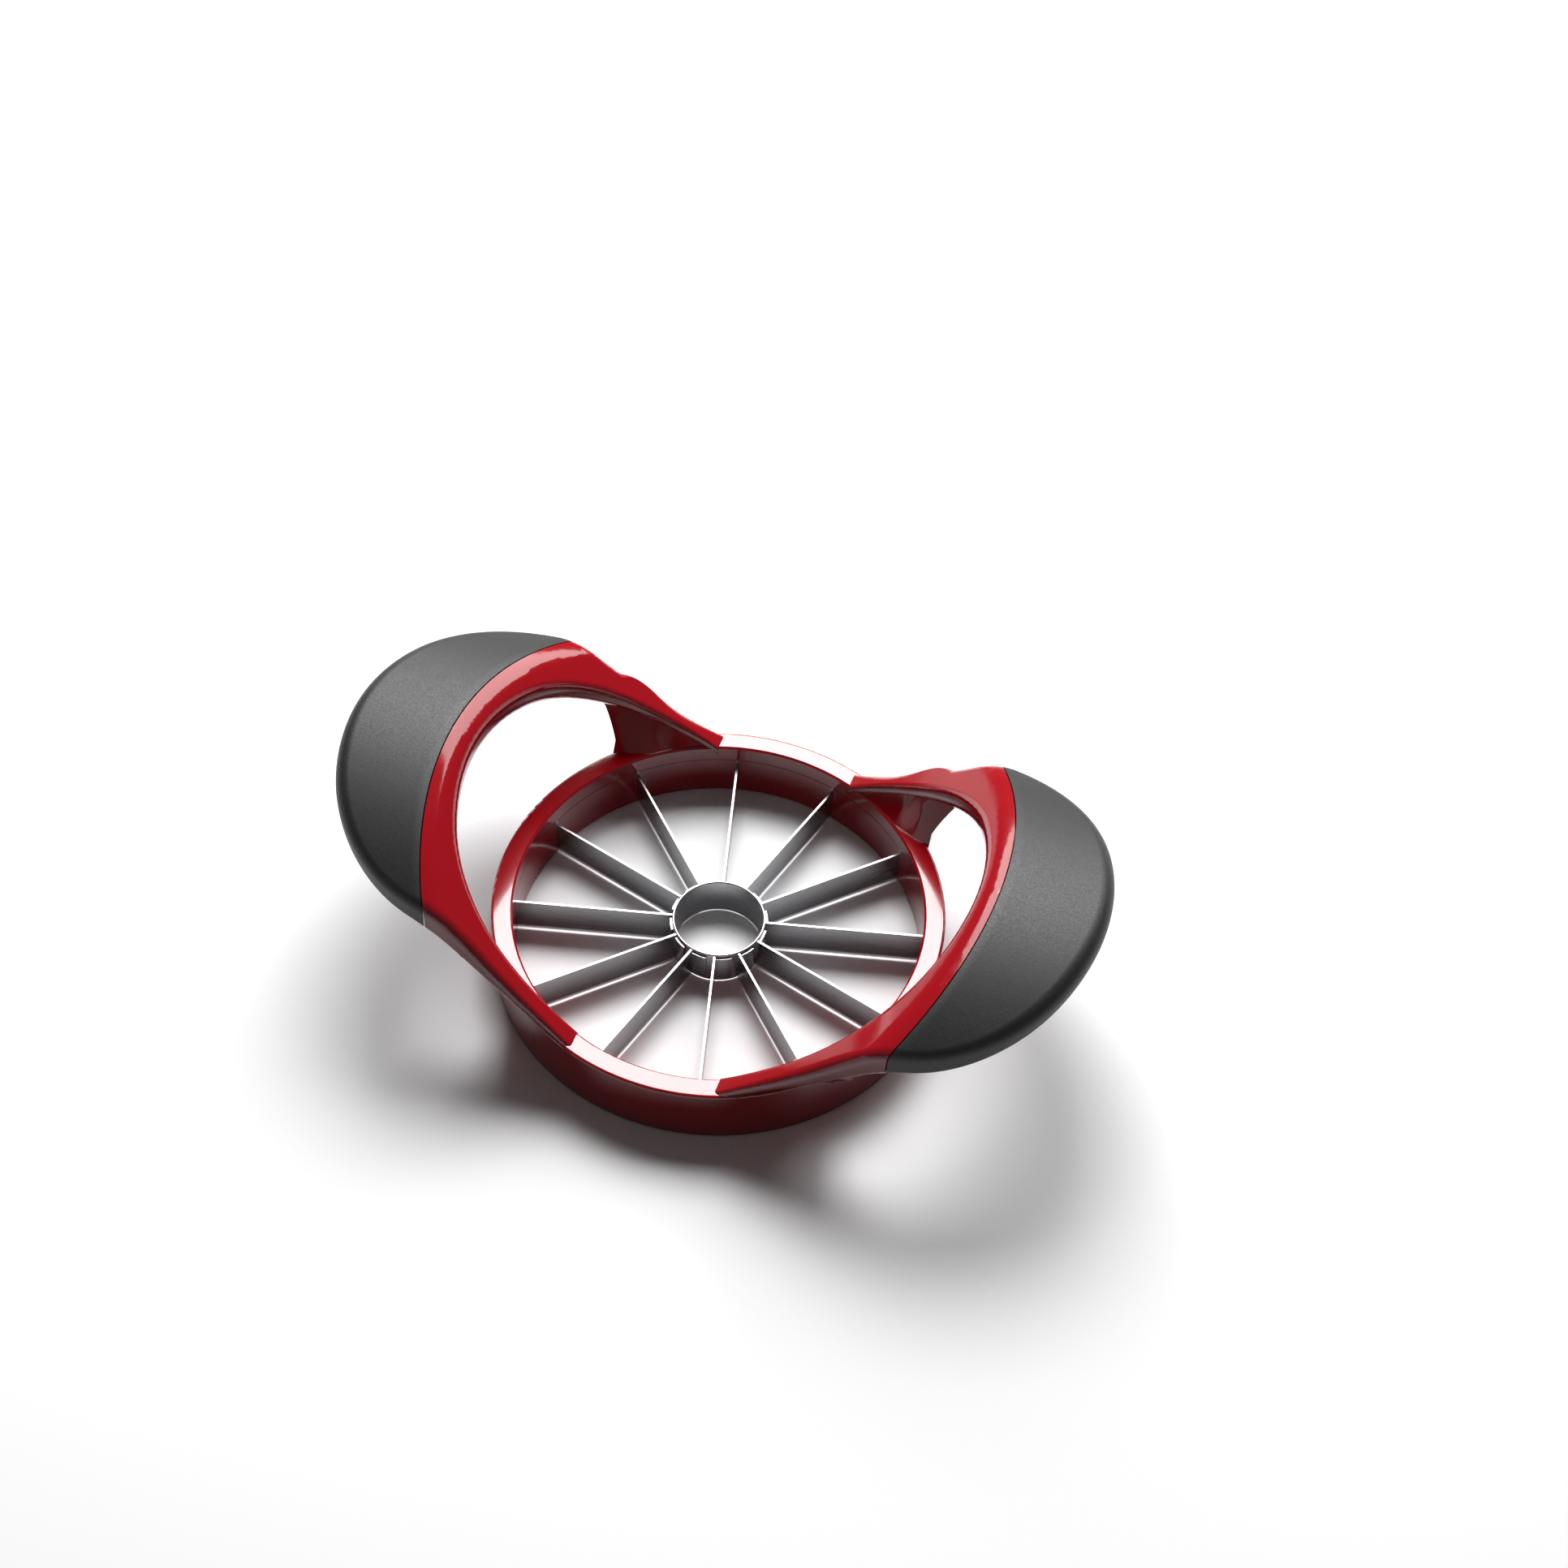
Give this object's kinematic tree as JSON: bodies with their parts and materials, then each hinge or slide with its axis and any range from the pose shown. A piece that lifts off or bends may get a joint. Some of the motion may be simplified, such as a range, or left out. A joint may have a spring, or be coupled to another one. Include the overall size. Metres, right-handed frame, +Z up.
{
  "type": "apple slicer",
  "caption": "Hand press that cores and cuts an apple into wedges: a ring with radial steel blades and a coring tube, under two raised loop handles with soft grips.",
  "frame": {"origin": "on the table under the ring's axis, at the centre of the base", "axes": "+X towards the right-hand grip, +Y across the handles, +Z up, away from the cutting edges"},
  "size_m": [0.1848, 0.1104, 0.0556],
  "materials": {
    "red_plastic": "high-gloss moulded, candy red",
    "black_rubber": "soft-touch, fine matte grain",
    "blade_steel": "stainless strip, lengthwise brushed"
  },
  "bodies": {
    "root": {"upper_frame": "red_plastic", "base_ring": "red_plastic", "grip_right": "black_rubber", "grip_left": "black_rubber", "core_ring": "blade_steel", "blade_01": "blade_steel", "blade_02": "blade_steel", "blade_03": "blade_steel", "blade_04": "blade_steel", "blade_05": "blade_steel", "blade_06": "blade_steel", "blade_07": "blade_steel", "blade_08": "blade_steel", "blade_09": "blade_steel", "blade_10": "blade_steel", "blade_11": "blade_steel", "blade_12": "blade_steel"}
  },
  "joints": []
}
